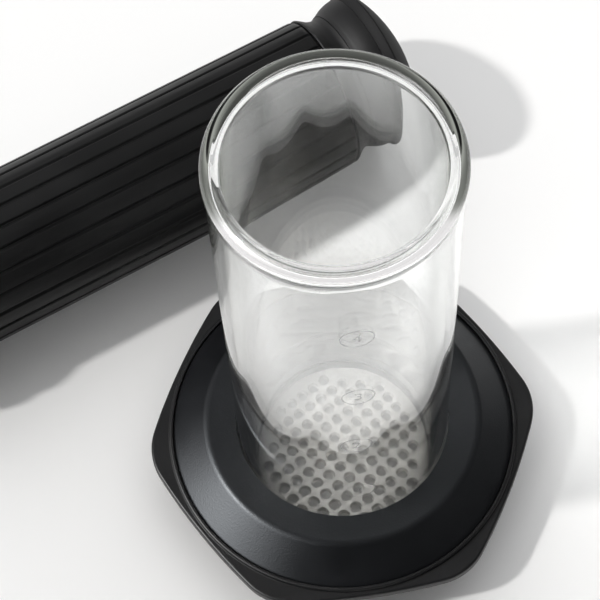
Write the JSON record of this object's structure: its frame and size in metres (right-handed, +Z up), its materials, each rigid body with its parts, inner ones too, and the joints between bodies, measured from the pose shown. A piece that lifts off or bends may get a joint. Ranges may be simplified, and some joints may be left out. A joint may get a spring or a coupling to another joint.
{
  "type": "piston coffee press",
  "caption": "Piston coffee press: double-walled glass chamber on a hexagonal flange with a perforated filter cap, and a ribbed plunger taken out and lying beside it.",
  "frame": {"origin": "on the table, at the middle of the ground that the chamber and the lying plunger cover together; the chamber's axis stands at x 55.24 mm, y -50.34 mm", "axes": "+Z up along the chamber's axis; the picture is taken from the -Y side, with +X to the right"},
  "size_m": [0.2392, 0.223, 0.1951],
  "materials": {
    "glass": "clear polished",
    "black_metal": "fine blasted black anodised",
    "black_plastic": "matte moulded",
    "steel": "satin",
    "silicone": "matte"
  },
  "bodies": {
    "chamber": {"glass_chamber": "glass", "chamber_base": "black_plastic", "foot_gasket": "silicone", "side_seal": "silicone", "hex_flange": "black_metal", "flange_cone": "black_metal"},
    "filter_cap": {"cap_ring": "black_plastic", "filter_disc": "steel"},
    "plunger": {"ribbed_sleeve": "black_metal", "core_tube": "black_plastic", "sleeve_collar": "black_metal", "handle_trumpet": "black_metal", "handle_cap": "black_metal", "handle_screw_1": "steel", "handle_screw_2": "steel", "handle_screw_3": "steel", "seal_carrier": "black_plastic", "carrier_o_ring": "silicone"},
    "seal": {"plunger_seal": "silicone"}
  },
  "joints": [
    {"name": "filter_cap_twist", "type": "hinge", "parent": "chamber", "child": "filter_cap", "pos_m": [0.05524, -0.05034, 0], "axis": [0, 0, -1], "range_deg": [0, 28]},
    {"name": "plunger_lift", "type": "slide", "parent": "chamber", "child": "plunger", "axis": [0, 0, 1], "range_m": [0, 0.2]},
    {"name": "seal_pull", "type": "slide", "parent": "plunger", "child": "seal", "axis": [-0.8771, -0.4802, 0], "range_m": [0, 0.03]}
  ]
}
